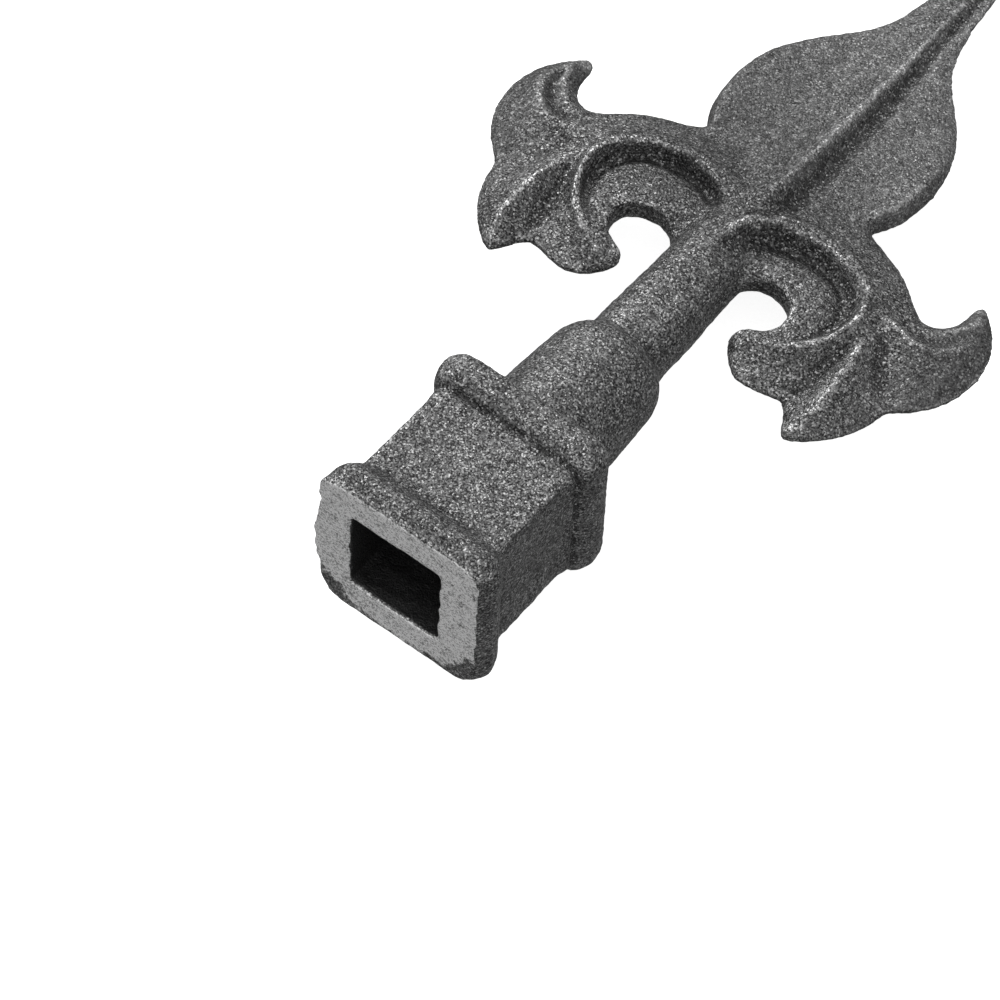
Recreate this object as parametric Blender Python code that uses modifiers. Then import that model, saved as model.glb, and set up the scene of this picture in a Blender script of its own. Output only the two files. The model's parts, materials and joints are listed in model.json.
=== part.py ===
"""Fence finial: a fleur-de-lis spear head of grey iron, cast in one piece on a square bar socket.

The casting is drawn with its socket mouth in the plane y = 0, its axis along +Y and its width
along X. The plane z = 0 is the parting plane of the mould: the carved front of the leaves and
the blade lies above it, and their back is flat and plain just below it. At the end the casting
is laid down on its back, as it rests on a table. Lengths are in metres.
"""
import math

import bmesh
import bpy
import numpy as np
from mathutils import Matrix, Vector
from mathutils.geometry import delaunay_2d_cdt

NAME = "fence_finial"
MM = 0.001

# Overall sizes
OVERALL_LENGTH = 150.0 * MM
LEAF_REACH = 39.5 * MM          # from the axis to the outermost point of a side leaf
LEAF_LEVEL = 64.0 * MM          # height of the scroll's eye above the socket mouth
BLADE_HALF_WIDTH = 16.8 * MM

# Socket block
BAR_SIDE = 14.0 * MM            # square bar that the socket takes
BAR_CLEARANCE = 0.4 * MM        # on each side of the bar
SOCKET_DEPTH = 26.0 * MM
CORE_SHIFT = 1.2 * MM           # the sand core sat off the axis, so one wall is thinner
BODY_WALL = 3.95 * MM           # mean wall between the bar hole and the block's flat sides
HOLE_CORNER = 0.8 * MM
MOUTH_BEAD_REACH = 2.4 * MM     # how far each bead stands out from the flat sides
UPPER_BEAD_REACH = 2.1 * MM
MOUTH_BEAD_LENGTH = 5.9 * MM
UPPER_BEAD_LENGTH = 8.2 * MM
BLOCK_LENGTH = 27.8 * MM
CORNER_RADIUS = 1.9 * MM

# Shoulder and stem
SHOULDER_RADIUS = 9.1 * MM
SHOULDER_END = 47.2 * MM        # where the shoulder has run down to the stem
STEM_RADIUS = 6.1 * MM
STEM_NECK_RADIUS = 5.6 * MM     # under the leaves
BLOCK_OVERLAP = 1.5 * MM        # how far the shoulder is set into the block
CUTTER_MARGIN = 2.0 * MM        # how far the hole's cutter stands out of the mouth

# Relief of the leaves and the blade, as heights above the parting plane
RELIEF_HEIGHT = 4.3 * MM        # crest of the scroll's rim
BLADE_EDGE_HEIGHT = 3.1 * MM    # at the root
BLADE_EDGE_LEAN = 1.35 * MM     # how far the blade's side leans inward up to its edge
BLADE_FACE_HEIGHT = 2.5 * MM    # beside the rib, at the root
RIB_ROOT_HEIGHT = 4.15 * MM     # crest of the blade's middle rib, level with the notches
RIB_HALF_WIDTH = 3.1 * MM       # at its foot
RIB_TOP_HALF = 1.7 * MM         # half width of its rounded top
RIB_TOP_FALL = 0.3 * MM         # from the crest to the sides of that top
TIP_CREST_HEIGHT = 1.1 * MM
BACK_DEPTH = 0.8 * MM           # flat back, below the parting plane
BACK_EDGE = 0.6 * MM            # how far the edge of the back is rounded in

# Fineness of the facets
OUTLINE_STEP = 1.3 * MM
LINE_STEP = 1.2 * MM
SKIN_STEP = 1.4 * MM
BACK_STEP = 3.8 * MM
SKIN_CLEARANCE = 0.62           # of a step, kept between loose points and drawn ones
SETTLING_ROUNDS = 500
RESTING_ROUNDS = 8
CHANNEL_STATIONS = 120          # along the rim and the eye, to pair their points
ROUND_SEGMENTS = 36
CORNER_SEGMENTS = 4
MERGE = 0.00001

HOLE_HALF = BAR_SIDE / 2 + BAR_CLEARANCE
BODY_HALF = HOLE_HALF + BODY_WALL

# The leaf is drawn in millimetres from the axis and the level of the eye, at this reach and
# this relief, and is placed at the sizes above.
DRAWN_REACH = 39.5
DRAWN_RELIEF = 4.3

# Outline of the right leaf, corner to corner, clockwise from the notch beside the blade: x, y and
# height of the edge
BAY = [(13.8, 20.5, 2.0), (17.5, 19.5, 1.8), (22.0, 17.7, 1.7), (25.6, 15.0, 1.6), (28.9, 13.2, 1.5),
       (31.5, 15.0, 1.4), (32.2, 17.5, 1.3), (32.4, 19.7, 1.2), (33.4, 20.6, 1.2)]
HORN_BACK = [(33.4, 20.6, 1.2), (36.3, 18.1, 1.3), (38.5, 14.8, 1.3), (39.5, 10.6, 1.4), (39.0, 6.0, 1.4),
             (37.0, 2.0, 1.4), (34.6, -0.5, 1.3), (33.0, -1.9, 1.0)]
MIDDLE_OUTER = [(33.0, -1.9, 1.0), (32.4, -5.0, 1.3), (31.0, -8.5, 1.3), (28.5, -11.6, 1.1),
                (26.0, -13.6, 1.0), (24.6, -14.1, 1.0)]
MIDDLE_INNER = [(24.6, -14.1, 1.0), (23.6, -13.0, 1.0), (22.6, -11.2, 0.9), (21.2, -9.2, 0.8)]
HOOK = [(21.2, -9.2, 0.8), (18.5, -9.8, 1.0), (15.5, -10.3, 1.1), (12.6, -9.5, 1.3), (10.4, -7.2, 1.5),
        (9.4, -5.0, 1.7), (9.9, -3.4, 1.8), (11.0, -2.9, 1.9)]
EYE = [(11.0, -2.9, 1.9), (12.8, -2.4, 2.2), (14.0, -0.8, 2.8), (14.1, 1.2, 3.2), (12.9, 2.9, 3.4),
       (10.0, 3.9, 3.2), (7.6, 3.5, 2.5), (5.9, 1.9, 1.5)]
INSIDE_STEM = [(5.9, 1.9, 1.5), (3.6, 0.6, 1.2), (0.0, 0.0, 1.2)]

# How far the side of each stretch leans inward up to its edge, and at the corners between them
STRETCHES = [(BAY, 1.0), (HORN_BACK, 1.0), (MIDDLE_OUTER, 0.8), (MIDDLE_INNER, 0.5), (HOOK, 0.7),
             (EYE, 0.3), (INSIDE_STEM, 0.1)]
CORNER_LEAN = 0.35

# Section of the side: share of the lean, share of the edge's height
SIDE_SECTION = [(0.35, 0.52), (0.0, 0.0)]

# Carved lines of the leaf: x, y and height
RIM = [(1.6, 10.2, 5.2), (4.0, 12.2, 4.7), (7.0, 13.7, 4.4), (10.0, 14.4, 4.3), (13.5, 14.4, 4.3),
       (17.0, 13.5, 4.3), (20.2, 11.2, 4.3), (21.9, 8.0, 4.3), (22.1, 4.8, 4.2), (21.2, 1.6, 4.1),
       (19.2, -1.3, 3.8), (16.3, -3.4, 3.3), (13.4, -4.4, 2.8), (11.6, -4.7, 2.3)]
MIDDLE_CREST = [(23.3, 8.2, 3.3), (24.1, 6.0, 2.95), (25.1, 2.5, 2.85), (26.0, -1.2, 2.8),
                (26.1, -5.0, 2.65), (25.5, -9.3, 2.1), (24.9, -12.2, 1.4)]
HORN_CREST = [(24.6, 9.2, 3.2), (26.6, 8.3, 3.0), (29.3, 7.3, 2.9), (32.1, 7.5, 2.8), (34.2, 9.0, 2.7),
              (35.5, 11.5, 2.5), (35.7, 14.0, 2.2), (35.0, 16.8, 1.9)]
HORN_GROOVE = [(25.0, 11.8, 2.2), (28.5, 10.6, 1.7), (31.4, 11.2, 1.5), (33.2, 13.2, 1.4), (33.6, 15.6, 1.3)]
HOOK_VALLEY = [(21.9, -7.4, 0.9), (22.3, -5.0, 1.1), (23.0, -1.5, 1.5), (23.4, 2.0, 2.0), (23.2, 5.2, 2.7)]
HORN_VALLEY = [(31.4, -0.2, 1.0), (30.0, 1.3, 1.3), (28.0, 3.8, 1.7), (26.4, 6.2, 2.3)]
SADDLE = [(6.0, 18.2, 2.9), (8.6, 18.9, 2.6), (11.4, 18.9, 2.3)]
RIB_RISE = [(0.0, 6.0, 5.0), (0.0, 9.0, 5.35), (0.0, 12.0, 5.15), (0.0, 16.0, 4.7)]

# Section of the scroll's channel: share of the way from the rim to the eye, height
CHANNEL = [(0.13, 2.5), (0.24, 2.1), (0.45, 2.75), (0.72, 3.2)]
CHANNEL_ENDS = (0.07, 0.93)     # shares of the rim between which the channel is carved
CHANNEL_RISE = (0.12, 0.35)     # shares over which it deepens from the stem and runs out in the hook

# Outline of the blade's right half: share of its half width, share of its length
BLADE = [(0.93, 0.047), (0.99, 0.107), (1.0, 0.175), (0.946, 0.252), (0.82, 0.318), (0.62, 0.383),
         (0.45, 0.432), (0.333, 0.489), (0.262, 0.565), (0.223, 0.656), (0.173, 0.786),
         (0.113, 0.924), (0.065, 0.985), (0.0, 1.0)]

# Its edge: share of its length, share of the edge's height, share of its lean
BLADE_EDGE = [(0.0, 1.0, 0.8), (0.15, 0.93, 0.95), (0.25, 0.60, 0.85), (0.36, 0.32, 0.75), (0.60, 0.26, 0.75),
              (1.0, 0.22, 0.2)]

# Its face beside the rib: share of its length, share of the face's height
BLADE_FACE = [(0.0, 1.0), (0.15, 0.85), (0.25, 0.56), (0.36, 0.36), (0.70, 0.30), (1.0, 0.26)]

# The blade's rib: share of the blade's length, share of the crest's height at the root
RIB_CREST = [(0.06, 0.92), (0.20, 0.72), (0.30, 0.56), (0.38, 0.46), (0.57, 0.39), (0.80, 0.33)]
RIB_FOOT_END = 0.80
RIB_TOP_END = 0.72
RIB_ROOT_SPREAD = 0.2           # how much wider the rib's foot is at the notches
RIB_ROOT_RISE = 0.2             # how much higher it lies there
RIB_ROOT_SHARE = 0.12           # share of the blade over which it narrows and sinks
RIB_START = -0.07               # where its sides begin, below the notches

# Stem above the eye's level: drawn height, share of the neck's radius
STEM_RUNOUT = [(6.0, 0.973), (9.0, 0.946), (12.0, 0.875), (16.0, 0.75), (20.5, 0.607), (31.0, 0.25)]

# Shoulder: share of the way from the block to the shoulder's end, share of its radius
SHOULDER = [(0.30, 1.0), (0.55, 0.972), (0.78, 0.94), (0.87, 0.90), (0.925, 0.845), (0.955, 0.79)]

# Bead sections: share of the bead's length, share of its reach
MOUTH_BEAD = [(0.0, 0.70), (0.12, 0.92), (0.35, 1.0), (0.60, 0.90), (0.80, 0.58), (0.93, 0.18), (1.0, 0.03)]
UPPER_BEAD = [(0.0, 0.0), (0.13, 0.10), (0.23, 0.26), (0.27, 0.12), (0.33, 0.52), (0.45, 0.85),
              (0.62, 1.0), (0.80, 0.96), (0.93, 0.75), (1.0, 0.40)]
CORNER_GROWTH = 0.8             # how much a bead's corner radius grows with its reach


def spline(points, step):
    """Return points about one step apart on a smooth curve through the given ones."""
    knots = [np.array(p, float) for p in points]
    knots = [2 * knots[0] - knots[1]] + knots + [2 * knots[-1] - knots[-2]]
    curve = []
    for a, b, c, d in zip(knots, knots[1:], knots[2:], knots[3:]):
        count = max(1, round(float(np.linalg.norm(c - b)) / step))
        for i in range(count):
            t = i / count
            bend = (2 * a - 5 * b + 4 * c - d) * t ** 2 + (3 * b - a - 3 * c + d) * t ** 3
            curve.append(0.5 * (2 * b + (c - a) * t + bend))
    curve.append(knots[-2])
    return curve


def resampled(curve, count):
    """Return that many points spaced evenly along a curve."""
    rows = np.array(curve)
    legs = np.linalg.norm(np.diff(rows[:, :2], axis=0), axis=1)
    run = np.concatenate([[0.0], np.cumsum(legs)])
    stops = np.linspace(0.0, run[-1], count)
    return np.stack([np.interp(stops, run, rows[:, k]) for k in range(rows.shape[1])], axis=1)


def drawn_scale():
    """Size of one drawn millimetre along the leaf and in its relief."""
    return LEAF_REACH / DRAWN_REACH, RELIEF_HEIGHT / DRAWN_RELIEF


def placed(points):
    """Turn points of the leaf's drawing into places on the casting."""
    across, up = drawn_scale()
    rows = []
    for x, y, *height in points:
        rows.append([x * across, LEAF_LEVEL + y * across] + [h * up for h in height])
    return rows


def notch():
    """The corner between the blade and the leaf."""
    return placed(BAY[:1])[0]


def blade_share(y):
    """Share of the blade's length at which y lies."""
    root = notch()[1]
    return (y - root) / (OVERALL_LENGTH - root)


def share_at(table, share, column=1):
    """Value read from a column of a table of shares."""
    return float(np.interp(share, [row[0] for row in table], [row[column] for row in table]))


def blade_outline():
    """Right half of the blade, from its tip down to the notch."""
    root = notch()
    length = OVERALL_LENGTH - root[1]
    points = [root[:2]] + [(wide * BLADE_HALF_WIDTH, root[1] + high * length) for wide, high in BLADE]
    return spline(points, OUTLINE_STEP)[::-1]


def half_outline():
    """Rows of x, y, edge height and lean round the right half, from the tip into the stem."""
    rows = []
    for x, y in blade_outline()[:-1]:
        edge = BLADE_EDGE_HEIGHT * share_at(BLADE_EDGE, blade_share(y))
        lean = BLADE_EDGE_LEAN * share_at(BLADE_EDGE, blade_share(y), 2)
        rows.append((x, y, edge, min(lean, x / 3 + edge / 10)))
    up = drawn_scale()[1]
    for stretch, lean in STRETCHES:
        for i, (x, y, edge) in enumerate(spline(placed(stretch), OUTLINE_STEP)[:-1]):
            rows.append((x, y, edge, (lean if i else CORNER_LEAN) * up))
    rows.append((*placed(INSIDE_STEM[-1:])[0], STRETCHES[-1][1] * up))
    rows = np.array(rows)
    for column in (2, 3):
        inner = rows[1:-1, column]
        rows[1:-1, column] = (rows[:-2, column] + 2 * inner + rows[2:, column]) / 4
    return rows


def outward(rows):
    """Unit normals in the parting plane, pointing out of the casting."""
    ahead = np.vstack([rows[1:, :2], rows[-1:, :2]])
    behind = np.vstack([rows[:1, :2], rows[:-1, :2]])
    along = ahead - behind
    normals = np.stack([-along[:, 1], along[:, 0]], axis=1)
    normals[0] = (0.0, 1.0)
    normals[-1] = (0.0, -1.0)
    return normals / np.linalg.norm(normals, axis=1, keepdims=True)


def rib_line(start, end):
    """Crest of the stem and of the blade's rib along the axis, from the eye's level to the tip."""
    root = notch()[1]
    inner_end = placed(INSIDE_STEM[-1:])[0]
    knots = [(0.0, start, inner_end[2]), *placed(RIB_RISE), (0.0, root, RIB_ROOT_HEIGHT)]
    for along, high in RIB_CREST:
        knots.append((0.0, root + along * (OVERALL_LENGTH - root), high * RIB_ROOT_HEIGHT))
    knots.append((0.0, end, TIP_CREST_HEIGHT))
    return spline(knots, LINE_STEP)


def rib_sides(outline, crest):
    """Lines along the side of the rib's rounded top and along its foot on the blade's face."""
    blade = outline[outline[:, 1] >= notch()[1] - MERGE]
    blade = blade[np.argsort(blade[:, 1])]
    crest = np.array(crest)
    root = notch()[1]
    length = OVERALL_LENGTH - root
    top = []
    for y in np.arange(root + RIB_START * length, root + RIB_TOP_END * length, LINE_STEP):
        half = float(np.interp(y, blade[:, 1], blade[:, 0]))
        height = float(np.interp(y, crest[:, 1], crest[:, 2])) - RIB_TOP_FALL
        top.append(np.array([min(RIB_TOP_HALF, 0.27 * half), y, height]))
    foot = []
    for y in np.arange(root + RIB_START * length, root + RIB_FOOT_END * length, LINE_STEP):
        half = float(np.interp(y, blade[:, 1], blade[:, 0]))
        near_root = max(0.0, 1.0 - blade_share(y) / RIB_ROOT_SHARE)
        width = RIB_HALF_WIDTH * (1 + RIB_ROOT_SPREAD * near_root)
        face = BLADE_FACE_HEIGHT * share_at(BLADE_FACE, blade_share(y))
        foot.append(np.array([min(width, 0.55 * half), y, face * (1 + RIB_ROOT_RISE * near_root)]))
    return [top, foot]


def channel_lines():
    """Lines along the scroll's channel, between the rim and the eye."""
    rim = resampled(spline(placed(RIM), LINE_STEP), CHANNEL_STATIONS)
    eye = resampled(spline(placed(EYE), LINE_STEP), CHANNEL_STATIONS)[::-1]
    along = np.linspace(0.0, 1.0, CHANNEL_STATIONS)
    deep = np.clip(np.minimum(along / CHANNEL_RISE[0], (1 - along) / CHANNEL_RISE[1]), 0.0, 1.0)
    first, last = (round(share * CHANNEL_STATIONS) for share in CHANNEL_ENDS)
    up = drawn_scale()[1]
    lines = []
    for share, height in CHANNEL:
        line = (1 - share) * rim + share * eye
        line[:, 2] += deep * np.minimum(0.0, height * up - line[:, 2])
        line = line[first:last]
        legs = np.linalg.norm(np.diff(line[:, :2], axis=0), axis=1).sum()
        lines.append(list(resampled(line, max(3, round(legs / LINE_STEP)))))
    return lines


def inside(points, polygon):
    """Which points lie inside a polygon."""
    x, y = points[:, 0], points[:, 1]
    odd = np.zeros(len(points), bool)
    for (xa, ya), (xb, yb) in zip(polygon, np.roll(polygon, -1, axis=0)):
        crosses = (ya > y) != (yb > y)
        if ya != yb:
            odd ^= crosses & (x < xa + (y - ya) * (xb - xa) / (yb - ya))
    return odd


def loose_points(polygon, drawn, spacing):
    """A triangular grid of points inside the polygon, clear of the drawn ones."""
    low, high = polygon.min(axis=0), polygon.max(axis=0)
    rows = []
    for j, y in enumerate(np.arange(low[1], high[1], spacing * math.sqrt(3) / 2)):
        for x in np.arange(low[0] + spacing * (0.5 if j % 2 else 0.0), high[0], spacing):
            rows.append((x, y))
    grid = np.array(rows)
    grid = grid[inside(grid, polygon)]
    gap = np.linalg.norm(grid[:, None, :] - drawn[None, :, :], axis=2).min(axis=1)
    return grid[(gap > SKIN_CLEARANCE * spacing) & (grid[:, 0] > SKIN_CLEARANCE * spacing)]


def settle(heights, fixed, triangles):
    """Let the loose points of the skin sink or rise to the mean of their neighbours."""
    pairs = {tuple(sorted(pair)) for a, b, c in triangles for pair in ((a, b), (b, c), (c, a))}
    pairs = np.array(sorted(pairs))
    degree = np.bincount(pairs.ravel(), minlength=len(heights))
    for _ in range(SETTLING_ROUNDS):
        total = np.bincount(pairs[:, 0], weights=heights[pairs[:, 1]], minlength=len(heights))
        total += np.bincount(pairs[:, 1], weights=heights[pairs[:, 0]], minlength=len(heights))
        heights = np.where(fixed, heights, total / np.maximum(degree, 1))
    return heights


def skin_over(border, lines, spacing):
    """Triangulate a border and the lines drawn inside it, and let all other points settle.

    Returns the points, the triangles and the place of each point of the border.
    """
    drawn = [border]
    edges = []
    start = len(border)
    for line in lines:
        drawn.append(np.array(line))
        edges += [(start + i, start + i + 1) for i in range(len(line) - 1)]
        start += len(line)
    drawn = np.vstack(drawn)
    loose = loose_points(border[:, :2], drawn[:, :2], spacing)
    flat = np.vstack([drawn[:, :2], loose])
    start_height = float(border[:, 2].mean())
    points, _, faces, sources, _, _ = delaunay_2d_cdt(
        [Vector(p) for p in flat], edges, [list(range(len(border)))], 1, MERGE / 10)
    heights = np.full(len(points), start_height)
    fixed = np.zeros(len(points), bool)
    place_of = {}
    for i, source in enumerate(sources):
        if source and min(source) < len(drawn):
            heights[i] = drawn[min(source), 2]
            fixed[i] = True
            place_of.update({s: i for s in source})
    heights = settle(heights, fixed, faces)
    skin = [Vector((p.x, p.y, h)) for p, h in zip(points, heights)]
    return skin, faces, [place_of[i] for i in range(len(border))]


def front_skin(outline):
    """The carved front of the right half."""
    top = outline[:, :2] - outward(outline) * outline[:, 3:4]
    top[0, 0] = top[-1, 0] = 0.0
    edge = np.column_stack([top, outline[:, 2]])
    crest = rib_line(top[-1, 1], top[0, 1])
    border = np.vstack([edge, np.array(crest)[1:-1]])
    lines = [spline(placed(line), LINE_STEP) for line in
             (RIM, MIDDLE_CREST, HORN_CREST, HORN_GROOVE, HOOK_VALLEY, HORN_VALLEY, SADDLE)]
    return skin_over(border, lines + channel_lines() + rib_sides(outline, crest), SKIN_STEP)


def back_skin(outline):
    """The flat back of the right half."""
    inset = np.minimum(BACK_EDGE, outline[:, :1] / 4 + BACK_EDGE / 5)
    edge = outline[:, :2] - outward(outline) * inset
    edge[0, 0] = edge[-1, 0] = 0.0
    count = round((edge[0, 1] - edge[-1, 1]) / BACK_STEP)
    axis = np.linspace(edge[-1], edge[0], count + 1)[1:-1]
    flat = np.vstack([edge, axis])
    return skin_over(np.column_stack([flat, np.full(len(flat), -BACK_DEPTH)]), [], BACK_STEP)


def add_object(name, mesh, collection):
    obj = bpy.data.objects.new(name, mesh)
    collection.objects.link(obj)
    return obj


def as_guide(obj):
    """Mark an object that only shapes the casting."""
    obj.hide_render = True
    obj.display_type = "WIRE"
    return obj


def laid_skin(bm, skin):
    """Add a skin to the mesh; return its faces and the vertices round its border."""
    points, triangles, border = skin
    verts = [bm.verts.new(p) for p in points]
    faces = [bm.faces.new([verts[i] for i in triangle]) for triangle in triangles]
    return faces, [verts[i] for i in border]


def relief(collection):
    """Leaves and blade: the right half, mirrored across the axis."""
    outline = half_outline()
    normals = outward(outline)
    bm = bmesh.new()
    front, top = laid_skin(bm, front_skin(outline))
    back, bottom = laid_skin(bm, back_skin(outline))
    rows = [top[:len(outline)]]
    for lean_share, height_share in SIDE_SECTION:
        row = []
        for (x, y, edge, lean), normal in zip(outline, normals):
            spot = np.array([x, y]) - normal * lean * lean_share
            row.append(bm.verts.new((max(0.0, spot[0]), spot[1], edge * height_share)))
        row[0].co.x = row[-1].co.x = 0.0
        rows.append(row)
    rows.append(bottom[:len(outline)])
    for upper, lower in zip(rows, rows[1:]):
        for i in range(len(upper) - 1):
            bm.faces.new((upper[i], lower[i], lower[i + 1], upper[i + 1]))
    bmesh.ops.recalc_face_normals(bm, faces=bm.faces)
    if sum(f.normal.z for f in front) < sum(f.normal.z for f in back):
        bmesh.ops.reverse_faces(bm, faces=bm.faces)
    mesh = bpy.data.meshes.new("relief")
    bm.to_mesh(mesh)
    bm.free()
    obj = add_object(NAME, mesh, collection)
    mirror = obj.modifiers.new("both_leaves", "MIRROR")
    mirror.use_axis = (True, False, False)
    mirror.use_mirror_merge = True
    mirror.merge_threshold = MERGE
    return obj


def stem_profile():
    """Half section of the shoulder and stem: distance from the mouth, radius."""
    rise = SHOULDER_END - BLOCK_LENGTH
    start = BLOCK_LENGTH - BLOCK_OVERLAP
    profile = [(start, 0.0), (start, SHOULDER_RADIUS)]
    profile += [(BLOCK_LENGTH + along * rise, wide * SHOULDER_RADIUS) for along, wide in SHOULDER]
    middle = (SHOULDER_END + LEAF_LEVEL) / 2
    profile += [(SHOULDER_END, STEM_RADIUS), (middle, (STEM_RADIUS + STEM_NECK_RADIUS) / 2),
                (LEAF_LEVEL, STEM_NECK_RADIUS)]
    for along, wide in STEM_RUNOUT:
        profile.append((placed([(0.0, along)])[0][1], wide * STEM_NECK_RADIUS))
    profile.append((profile[-1][0] + BLOCK_OVERLAP, 0.0))
    return profile


def stem(collection):
    """Turned shoulder and stem, which runs out inside the blade."""
    mesh = bpy.data.meshes.new("stem")
    profile = [(radius, 0.0, along) for along, radius in reversed(stem_profile())]
    mesh.from_pydata(profile, [(i, i + 1) for i in range(len(profile) - 1)], [])
    obj = as_guide(add_object("stem", mesh, collection))
    obj.rotation_euler = (-math.pi / 2, 0.0, 0.0)
    screw = obj.modifiers.new("turned", "SCREW")
    screw.axis = "Z"
    screw.steps = screw.render_steps = ROUND_SEGMENTS
    screw.use_merge_vertices = True
    screw.merge_threshold = MERGE
    return obj


def block_sections():
    """Rows of distance from the mouth and half width of the socket block."""
    rows = [(s * MOUTH_BEAD_LENGTH, BODY_HALF + r * MOUTH_BEAD_REACH) for s, r in MOUTH_BEAD]
    start = BLOCK_LENGTH - UPPER_BEAD_LENGTH
    rows.append(((MOUTH_BEAD_LENGTH + start) / 2, BODY_HALF))
    rows += [(start + s * UPPER_BEAD_LENGTH, BODY_HALF + r * UPPER_BEAD_REACH) for s, r in UPPER_BEAD]
    return rows


def rounded_square(half, radius):
    """Points round a square with rounded corners."""
    points = []
    for corner in range(4):
        middle = math.radians(45 + 90 * corner)
        centre = Vector((math.copysign(half - radius, math.cos(middle)),
                         math.copysign(half - radius, math.sin(middle))))
        for i in range(CORNER_SEGMENTS + 1):
            angle = math.radians(90 * corner + 90 * i / CORNER_SEGMENTS)
            points.append(centre + radius * Vector((math.cos(angle), math.sin(angle))))
    return points


def block(collection):
    """Socket block: rounded squares lofted from the ground mouth over both beads."""
    bm = bmesh.new()
    rings = []
    for y, half in block_sections():
        radius = CORNER_RADIUS + CORNER_GROWTH * (half - BODY_HALF)
        rings.append([bm.verts.new((p.x, y, p.y)) for p in rounded_square(half, radius)])
    for near, far in zip(rings, rings[1:]):
        for i in range(len(near)):
            j = (i + 1) % len(near)
            bm.faces.new((near[i], near[j], far[j], far[i]))
    bm.faces.new(rings[0])
    bm.faces.new(rings[-1])
    bmesh.ops.recalc_face_normals(bm, faces=bm.faces)
    mesh = bpy.data.meshes.new("block")
    bm.to_mesh(mesh)
    bm.free()
    return as_guide(add_object("block", mesh, collection))


def bar_hole(collection):
    """Cutter for the blind square hole, as the core left it."""
    bm = bmesh.new()
    bmesh.ops.create_cube(bm, size=1.0)
    length = SOCKET_DEPTH + CUTTER_MARGIN
    bmesh.ops.scale(bm, vec=(2 * HOLE_HALF, length, 2 * HOLE_HALF), verts=bm.verts)
    bmesh.ops.translate(bm, vec=(-CORE_SHIFT, SOCKET_DEPTH - length / 2, 0.0), verts=bm.verts)
    lengthwise = [e for e in bm.edges if abs(e.verts[0].co.y - e.verts[1].co.y) > SOCKET_DEPTH]
    bmesh.ops.bevel(bm, geom=lengthwise, offset=HOLE_CORNER, segments=CORNER_SEGMENTS, profile=0.5,
                    affect="EDGES")
    mesh = bpy.data.meshes.new("bar_hole")
    bm.to_mesh(mesh)
    bm.free()
    return as_guide(add_object("bar_hole", mesh, collection))


def boolean(obj, other, operation):
    step = obj.modifiers.new(f"{operation.lower()}_{other.name}", "BOOLEAN")
    step.operation = operation
    step.solver = "EXACT"
    step.object = other


def rest_angle(points, balance):
    """Angle by which the casting tips until it touches the table on both sides of its balance."""
    behind = [p for p in points if p[0] < balance]
    ahead = [p for p in points if p[0] > balance]
    toe = min(ahead, key=lambda p: p[1])
    for _ in range(RESTING_ROUNDS):
        heel = max(behind, key=lambda p: (toe[1] - p[1]) / (toe[0] - p[0]))
        toe = min(ahead, key=lambda p: (p[1] - heel[1]) / (p[0] - heel[0]))
    return -math.atan2(toe[1] - heel[1], toe[0] - heel[0])


def iron():
    """Dark grey as-cast iron."""
    material = bpy.data.materials.new("cast_iron")
    material.use_nodes = True
    shader = material.node_tree.nodes["Principled BSDF"]
    shader.inputs["Base Color"].default_value = (0.10, 0.10, 0.105, 1.0)
    shader.inputs["Roughness"].default_value = 0.62
    shader.inputs["Metallic"].default_value = 0.85
    return material


def collection_named(name):
    found = bpy.data.collections.new(name)
    bpy.context.scene.collection.children.link(found)
    return found


def lay_down(objects, casting):
    """Tip the casting onto its back and put the origin under the middle of its box."""
    bpy.context.view_layer.update()
    shape = casting.evaluated_get(bpy.context.evaluated_depsgraph_get()).data
    points = np.array([v.co[:] for v in shape.vertices])
    volume = 0.0
    moment = 0.0
    for face in shape.polygons:
        corners = [Vector(points[i]) for i in face.vertices]
        for b, c in zip(corners[1:], corners[2:]):
            part = corners[0].dot(b.cross(c)) / 6
            volume += part
            moment += part * (corners[0].y + b.y + c.y) / 4
    turn = Matrix.Rotation(rest_angle(points[:, 1:], moment / volume), 4, "X")
    turned = np.array([turn @ Vector(p) for p in points])
    low, high = turned.min(axis=0), turned.max(axis=0)
    shift = Vector((-(low[0] + high[0]) / 2, -(low[1] + high[1]) / 2, -low[2]))
    table = bpy.data.objects.new("rest_pose", None)
    bpy.context.scene.collection.objects.link(table)
    for obj in objects:
        obj.parent = table
    table.matrix_world = Matrix.Translation(shift) @ turn


def main():
    for obj in list(bpy.data.objects):
        bpy.data.objects.remove(obj)
    parts = collection_named(NAME)
    guides = collection_named("guides")
    casting = relief(parts)
    stem_guide = stem(guides)
    block_guide = block(guides)
    hole_guide = bar_hole(guides)
    boolean(casting, stem_guide, "UNION")
    boolean(casting, block_guide, "UNION")
    boolean(casting, hole_guide, "DIFFERENCE")
    casting.data.materials.append(iron())
    lay_down([casting, stem_guide, block_guide, hole_guide], casting)


main()
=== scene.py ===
"""Cast iron fence finial, lying on its back on a pale studio floor."""
import json
from math import cos, radians, sin

import bmesh
import bpy
from mathutils import Matrix, Vector


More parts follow.
